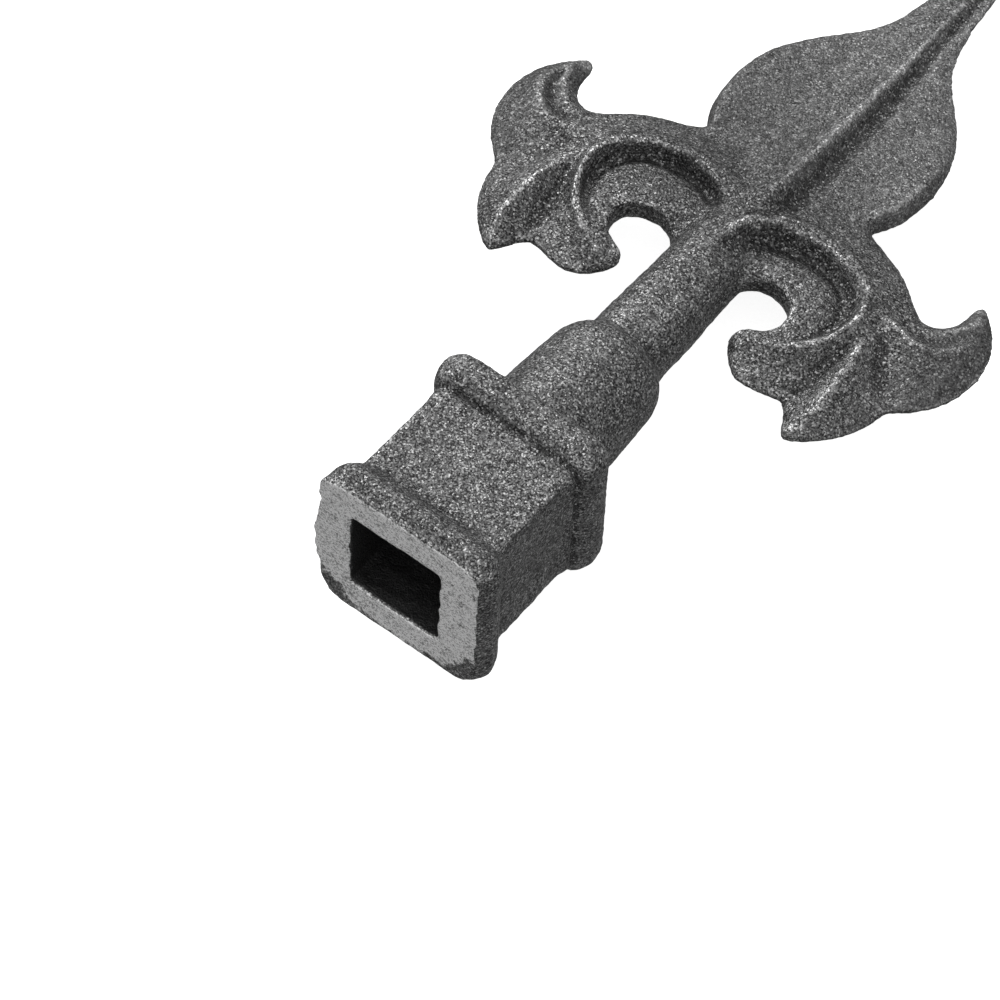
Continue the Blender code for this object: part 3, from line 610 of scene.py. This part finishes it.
    # Grinding has rounded the mouth's right and front edges, and the edge of the metal wanders.
    next_to_mouth = ramp(tree, height, 2.6 * MM, 0.0)
    worn_right = maths(tree, "MULTIPLY", ramp(tree, separate[0], 8.0 * MM, 12.5 * MM), next_to_mouth)
    worn_front = maths(tree, "MULTIPLY", ramp(tree, depth, 8.0 * MM, 12.0 * MM), next_to_mouth)
    worn_right = maths(tree, "MULTIPLY", worn_right, maths(tree, "MULTIPLY", given["Wear"], -1.0))
    worn_front = maths(tree, "MULTIPLY", worn_front, maths(tree, "MULTIPLY", given["Wear"], -0.5))
    wander = sand(tree, place, RAGGED_SIZE, given["Seed"], detail=4.0, roughness=0.6)
    wander = maths(tree, "MULTIPLY", wander, maths(tree, "MULTIPLY", next_to_mouth, given["Wander"]))
    outwards = vector_maths(tree, "NORMALIZE", from_axis)
    away = add(tree, "ShaderNodeSeparateXYZ", links={0: outwards}).outputs
    to_the_side = maths(tree, "MULTIPLY_ADD", away[0], wander, maths(tree, "ADD", reach, worn_right))
    to_the_front = maths(tree, "MULTIPLY_ADD", away[1], wander, worn_front)
    ends = vector_maths(
        tree,
        "ADD",
        vector_maths(tree, "SCALE", (1.0, 0.0, 0.0), scale=to_the_side),
        vector_maths(tree, "SCALE", out_of_front, scale=to_the_front),
    )
    burred = add(tree, "GeometryNodeSetPosition", links={"Geometry": pushed, "Offset": ends}).outputs[0]

    # No grain stands outside the size of the casting.
    kept = vector_maths(tree, "MAXIMUM", place, given["Lowest corner"])
    kept = vector_maths(tree, "MINIMUM", kept, given["Highest corner"])
    kept = add(tree, "GeometryNodeSetPosition", links={"Geometry": burred, "Position": kept}).outputs[0]
    smooth = add(tree, "GeometryNodeSetShadeSmooth", links={"Geometry": kept}).outputs[0]
    real = add(tree, "GeometryNodeRealizeInstances", links={"Geometry": smooth}).outputs[0]
    made = add(
        tree,
        "GeometryNodeSetMaterial",
        links={"Geometry": real, "Material": given["Iron"]},
    ).outputs[0]
    add(tree, "NodeGroupOutput", links={"Geometry": made})
    return tree


def cast_iron(settings):
    """Sand-cast grey iron, left as it came from the mould and blasted clean.

    Every sand grain left a pit, so the surface is matt but glitters where single facets catch the light,
    and glints are also painted into its colour as bright specks. Painted shade with burnt sand darkens
    its hollows, grooves and side walls, and a painted highlight lightens its front edges.
    The mouth is ground to fresh, paler metal, and the cored hole's wall is painted almost black, for
    burnt sand and painted shade.
    """
    material = bpy.data.materials.new("Sand-cast grey iron")
    material.use_nodes = True
    tree = material.node_tree
    tree.nodes.clear()
    place = add(tree, "ShaderNodeTexCoord").outputs["Object"]

    def kept(name):
        return add(tree, "ShaderNodeAttribute", {"attribute_name": name}).outputs["Fac"]

    def mixed(factor, first, second):
        links = {0: factor, 6: first, 7: second}
        return add(tree, "ShaderNodeMix", {"data_type": "RGBA"}, links).outputs[2]

    def solid(name):
        return (*getattr(settings, name), 1.0)

    def times(first, second):
        settings = {"data_type": "RGBA", "blend_type": "MULTIPLY"}
        return add(tree, "ShaderNodeMix", settings, {0: 1.0, 6: first, 7: second}).outputs[2]

    # Cells and grains give the speckle, clots the small blotches and stains the large ones.
    cells = add(tree, "ShaderNodeTexVoronoi", links={"Vector": place, "Scale": 1 / CELL_SIZE})
    cell = add(tree, "ShaderNodeSeparateColor", links={0: cells.outputs["Color"]}).outputs[0]
    # Painted glints: the brightest cells are painted into the colour as bright specks.
    painted_glint = maths(tree, "POWER", cell, 9.0)
    grain = sand(tree, place, GRAIN_SIZE, 1.0, detail=1.0, roughness=0.6)
    clot = sand(tree, place, CLOT_SIZE, 4.0, detail=3.0, roughness=0.6)
    stain = sand(tree, place, STAIN_SIZE, 9.0, detail=3.0)

    # The blade came out of the mould smoother, and painted shade with burnt sand darkens the metal
    # where blade and leaves meet.
    from_root = vector_maths(tree, "SUBTRACT", place, BLADE_ROOT)
    along = vector_maths(tree, "DOT_PRODUCT", from_root, TOWARDS_TIP, output=1)
    coarse = ramp(tree, along, -3.0 * MM, 8.0 * MM, low=1.42, high=0.88)
    sand_and_shade_factor = ramp(tree, vector_maths(tree, "LENGTH", from_root, output=1), 5.0 * MM, 25.0 * MM, low=0.68)

    # The thin ends of the leaves cooled first and stayed smoother, and painted shade makes them duller.
    out = add(tree, "ShaderNodeSeparateXYZ", links={0: place}).outputs[0]
    thin = ramp(tree, maths(tree, "ABSOLUTE", out), 27.0 * MM, 35.0 * MM)
    coarse = maths(tree, "MULTIPLY", coarse, maths(tree, "MULTIPLY_ADD", thin, -0.35, 1.0))
    sand_and_shade_factor = maths(tree, "MULTIPLY", sand_and_shade_factor, maths(tree, "MULTIPLY_ADD", thin, -0.22, 1.0))
    proud = kept("proud")
    # Raised front edges get a painted highlight.
    bright = maths(tree, "MULTIPLY_ADD", clot, 0.3, ramp(tree, proud, 0.03, 0.28))
    # Painted shade with burnt sand darkens creases, hollows, sunk grooves and side walls.
    dark = maths(tree, "MAXIMUM", ramp(tree, proud, -0.01, -0.16), ramp(tree, kept("hollow"), 0.06, 0.42))
    dark = maths(tree, "MAXIMUM", dark, maths(tree, "MULTIPLY", kept("soot"), 0.8))
    dark = maths(tree, "MULTIPLY_ADD", clot, -0.55, dark)
    dark = maths(tree, "MULTIPLY_ADD", painted_glint, -1.1, dark)
    shade = mixed(ramp(tree, bright, 0.0, 1.0, high=0.68), solid("iron"), solid("crest_highlight"))
    shade = mixed(ramp(tree, dark, 0.0, 1.0, high=0.7), shade, solid("sand_and_shade_colour"))
    speckle = maths(tree, "MULTIPLY_ADD", cell, 0.8, -0.57)
    speckle = maths(tree, "MULTIPLY_ADD", painted_glint, 1.8, speckle)
    speckle = maths(tree, "MULTIPLY_ADD", grain, 1.15, speckle)
    speckle = maths(tree, "MULTIPLY_ADD", speckle, coarse, 1.0)
    speckle = maths(tree, "MULTIPLY_ADD", clot, 0.45, speckle)
    speckle = maths(tree, "MULTIPLY_ADD", stain, 0.3, speckle)
    speckle = maths(tree, "MULTIPLY", speckle, sand_and_shade_factor)
    shade = times(shade, maths(tree, "MAXIMUM", speckle, 0.15))
    ground = maths(tree, "MULTIPLY_ADD", clot, 0.45, kept("ground"))
    ground = maths(tree, "MULTIPLY_ADD", stain, 0.2, ground)
    ground = ramp(tree, ground, 0.42, 0.62)
    pitting = ramp(tree, clot, -0.1, -0.4, high=0.3)
    fine = maths(tree, "MULTIPLY_ADD", cell, 0.9, 0.66)
    fine = maths(tree, "MULTIPLY_ADD", grain, 1.2, fine)
    fine = maths(tree, "SUBTRACT", maths(tree, "MULTIPLY_ADD", clot, 0.4, fine), pitting)
    shade = mixed(ground, shade, times(solid("ground"), fine))
    # The cored hole's wall is painted near black, for burnt sand and painted shade.
    shade = mixed(maths(tree, "MULTIPLY", kept("bore"), 0.93), shade, solid("bore"))
    roughness = maths(tree, "MULTIPLY_ADD", cell, -0.16, 0.56)
    roughness = maths(tree, "MULTIPLY_ADD", ground, -0.06, roughness)

    height = maths(tree, "MULTIPLY_ADD", clot, 0.5, grain)
    bump = add(
        tree,
        "ShaderNodeBump",
        links={
            "Strength": maths(tree, "MULTIPLY_ADD", ground, -0.85, 1.0),
            "Distance": 0.1 * MM,
            "Height": height,
        },
    ).outputs[0]
    shader = add(
        tree,
        "ShaderNodeBsdfPrincipled",
        links={
            "Base Color": shade,
            "Metallic": 0.75,
            "Roughness": roughness,
            "Normal": bump,
        },
    ).outputs[0]
    add(tree, "ShaderNodeOutputMaterial", links={"Surface": shader})
    return material


def pattern_mesh():
    """The smooth solid as one closed mesh."""
    mesh = bpy.data.meshes.new(PIECE)
    whole = bmesh.new()
    whole.from_mesh(frame["nodes"][NODE].data)
    bmesh.ops.remove_doubles(whole, verts=whole.verts, dist=MERGE)
    whole.to_mesh(mesh)
    whole.free()
    mesh.materials.clear()
    return mesh


def mirrored(line):
    """The same line on the other half."""
    return tuple((-across, along, rise, width) for across, along, rise, width in line)


def drawn_lines(name, *lines):
    """Smooth chains of edges through the drawn points, flat in the casting's plan.

    Each point of a chain keeps its rise and half its width.
    """
    places = []
    edges = []
    values = []
    for line in lines:
        knots = [Vector(point) for point in line]
        knots = [2 * knots[0] - knots[1], *knots, 2 * knots[-1] - knots[-2]]
        first = len(places)
        for a, b, c, d in zip(knots, knots[1:], knots[2:], knots[3:]):
            for i in range(LINE_PARTS):
                t = i / LINE_PARTS
                bend = (2 * a - 5 * b + 4 * c - d) * t ** 2 + (3 * b - a - 3 * c + d) * t ** 3
                values.append(0.5 * (2 * b + (c - a) * t + bend))
        values.append(knots[-2])
        places += [(v[0] * MM, v[1] * MM + EYE_LEVEL, 0) for v in values[first:]]
        edges += [(i, i + 1) for i in range(first, len(places) - 1)]
    data = bpy.data.meshes.new(name)
    data.from_pydata(places, edges, [])
    for attribute, column in (("rise", 2), ("width", 3)):
        stored = data.attributes.new(attribute, "FLOAT", "POINT")
        stored.data.foreach_set("value", [v[column] * MM for v in values])
    drawn = bpy.data.objects.new(name, data)
    bpy.context.scene.collection.objects.link(drawn)
    return drawn


class FINIAL_OT_casting(bpy.types.Operator):
    """Make the rough iron casting from the smooth solid"""

    bl_idname = "finial.casting"
    bl_label = "Make the casting"

    def execute(self, context):
        settings = context.scene.finial_casting
        casting = bpy.data.objects.new(PIECE, pattern_mesh())
        context.scene.collection.objects.link(casting)
        remesh = casting.modifiers.new("Even facets", "REMESH")
        remesh.mode = "VOXEL"
        remesh.voxel_size = settings.facet
        skin = casting.modifiers.new("Sand-cast skin", "NODES")
        tree = skin_tree()
        skin.node_group = tree
        hollows = [RIM_BACK, HOOK_VALLEY, HORN_FILL, HORN_SLOPE, MIDDLE_SLOPE]
        ridges = drawn_lines("Leaf ridges", MIDDLE_CREST, mirrored(MIDDLE_CREST))
        sharp = drawn_lines(
            "Sharp lines",
            BLOCK_EDGE,
            mirrored(BLOCK_EDGE),
            RIGHT_RIM,
            LEFT_RIM,
            RIGHT_HORN_CREST,
            LEFT_HORN_CREST,
            RIB_EDGE,
        )
        soft = drawn_lines(
            "Soft lines",
            *hollows,
            *map(mirrored, hollows),
            RIGHT_CREVICE,
            LEFT_CREVICE,
            RIGHT_HORN_VALLEY,
            LEFT_HORN_GROOVE,
            RIB_FLANK,
            RIB_FADE,
            STEM_SIDE,
        )
        values = {name: getattr(settings, name.lower().replace(" ", "_")) for name in SKIN_NUMBERS}
        values["Softening"] = settings.softening
        values["Leaf ridges"] = ridges
        values["Sharp lines"] = sharp
        values["Soft lines"] = soft
        values["Mouth"] = MOUTH_CENTRE
        values["Towards tip"] = TOWARDS_TIP
        values["Lowest corner"] = CAD_BOX[0]
        values["Highest corner"] = CAD_BOX[1]
        values["Iron"] = cast_iron(settings)
        for socket in tree.interface.items_tree:
            if socket.in_out == "INPUT" and socket.name in values:
                skin[socket.identifier] = values[socket.name]
        context.view_layer.update()
        depsgraph = context.evaluated_depsgraph_get()
        made = bpy.data.meshes.new_from_object(casting.evaluated_get(depsgraph))
        casting.modifiers.clear()
        casting.data = made
        for drawn in (ridges, sharp, soft):
            bpy.data.objects.remove(drawn)
        if not made.polygons:
            raise RuntimeError("the casting came out empty")
        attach(casting, "root")
        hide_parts(NODE)
        return {"FINISHED"}


class FINIAL_OT_studio(bpy.types.Operator):
    """Set up the floor, the lights and the camera"""

    bl_idname = "finial.studio"
    bl_label = "Set up the studio"

    def execute(self, context):
        settings = context.scene.finial_studio
        scene = context.scene
        scene.view_settings.view_transform = "Standard"
        middle = (CAD_BOX[0] + CAD_BOX[1]) / 2

        mesh = bpy.data.meshes.new("studio_floor")
        signs = ((-1, -1), (1, -1), (1, 1), (-1, 1))
        corners = [(x * FLOOR_HALF, y * FLOOR_HALF, 0) for x, y in signs]
        mesh.from_pydata(corners, [], [(0, 1, 2, 3)])
        floor = bpy.data.objects.new("studio_floor", mesh)
        scene.collection.objects.link(floor)
        floor.visible_diffuse = False
        floor.visible_glossy = False
        paper = bpy.data.materials.new("Matt paper backdrop")
        paper.use_nodes = True
        tree = paper.node_tree
        tree.nodes.clear()
        shader = add(
            tree,
            "ShaderNodeBsdfPrincipled",
            links={
                "Base Color": (*settings.floor, 1.0),
                "Roughness": 0.9,
                "Emission Color": (*settings.floor, 1.0),
                "Emission Strength": settings.floor_glow,
            },
        ).outputs[0]
        add(tree, "ShaderNodeOutputMaterial", links={"Surface": shader})
        mesh.materials.append(paper)

        towards = Vector(
            (
                cos(settings.key_azimuth) * cos(settings.key_elevation),
                sin(settings.key_azimuth) * cos(settings.key_elevation),
                sin(settings.key_elevation),
            )
        )
        data = bpy.data.lights.new("key_light", "AREA")
        data.energy = settings.key_power
        data.size = settings.key_size
        key = bpy.data.objects.new("key_light", data)
        key.location = middle + towards * settings.key_distance
        key.rotation_mode = "QUATERNION"
        key.rotation_quaternion = towards.to_track_quat("Z", "Y")
        scene.collection.objects.link(key)

        world = bpy.data.worlds.new("studio_room")
        world.use_nodes = True
        tree = world.node_tree
        tree.nodes.clear()
        direction = add(tree, "ShaderNodeTexCoord").outputs["Generated"]
        upwards = add(tree, "ShaderNodeSeparateXYZ", links={0: direction}).outputs[2]
        strength = ramp(tree, upwards, -0.15, 0.15, low=settings.bounce, high=settings.sky)
        links = {"Color": (1.0, 1.0, 1.0, 1.0), "Strength": strength}
        room = add(tree, "ShaderNodeBackground", links=links).outputs[0]
        add(tree, "ShaderNodeOutputWorld", links={"Surface": room})
        scene.world = world

        view = bpy.data.cameras.new("photo_camera")
        view.lens = CAMERA_LENS
        view.sensor_width = SENSOR_WIDTH
        view.sensor_fit = "HORIZONTAL"
        view.clip_start = CLIP_START
        view.clip_end = CLIP_END
        turned = Matrix((CAMERA_RIGHT, CAMERA_UP, CAMERA_BACK)).transposed().to_4x4()
        camera = bpy.data.objects.new("photo_camera", view)
        camera.matrix_world = CASTING @ Matrix.Translation(CAMERA_PLACE) @ turned
        scene.collection.objects.link(camera)
        scene.camera = camera
        return {"FINISHED"}


class FINIAL_PT_panel(bpy.types.Panel):
    """Settings and steps of the finial"""

    bl_label = "Cast iron finial"
    bl_idname = "FINIAL_PT_panel"
    bl_space_type = "VIEW_3D"
    bl_region_type = "UI"
    bl_category = "Finial"

    def draw(self, context):
        for operator, settings in (
            (FINIAL_OT_casting, context.scene.finial_casting),
            (FINIAL_OT_studio, context.scene.finial_studio),
        ):
            box = self.layout.box()
            for name in settings.__annotations__:
                box.prop(settings, name)
            box.operator(operator.bl_idname)


CLASSES = (
    CastingSettings,
    StudioSettings,
    FINIAL_OT_casting,
    FINIAL_OT_studio,
    FINIAL_PT_panel,
)


def register():
    for made in CLASSES:
        bpy.utils.register_class(made)
    bpy.types.Scene.finial_casting = bpy.props.PointerProperty(type=CastingSettings)
    bpy.types.Scene.finial_studio = bpy.props.PointerProperty(type=StudioSettings)


def unregister():
    del bpy.types.Scene.finial_studio
    del bpy.types.Scene.finial_casting
    for made in reversed(CLASSES):
        bpy.utils.unregister_class(made)


def main():
    register()
    bpy.ops.finial.casting()
    bpy.ops.finial.studio()


if __name__ == "__main__":
    main()
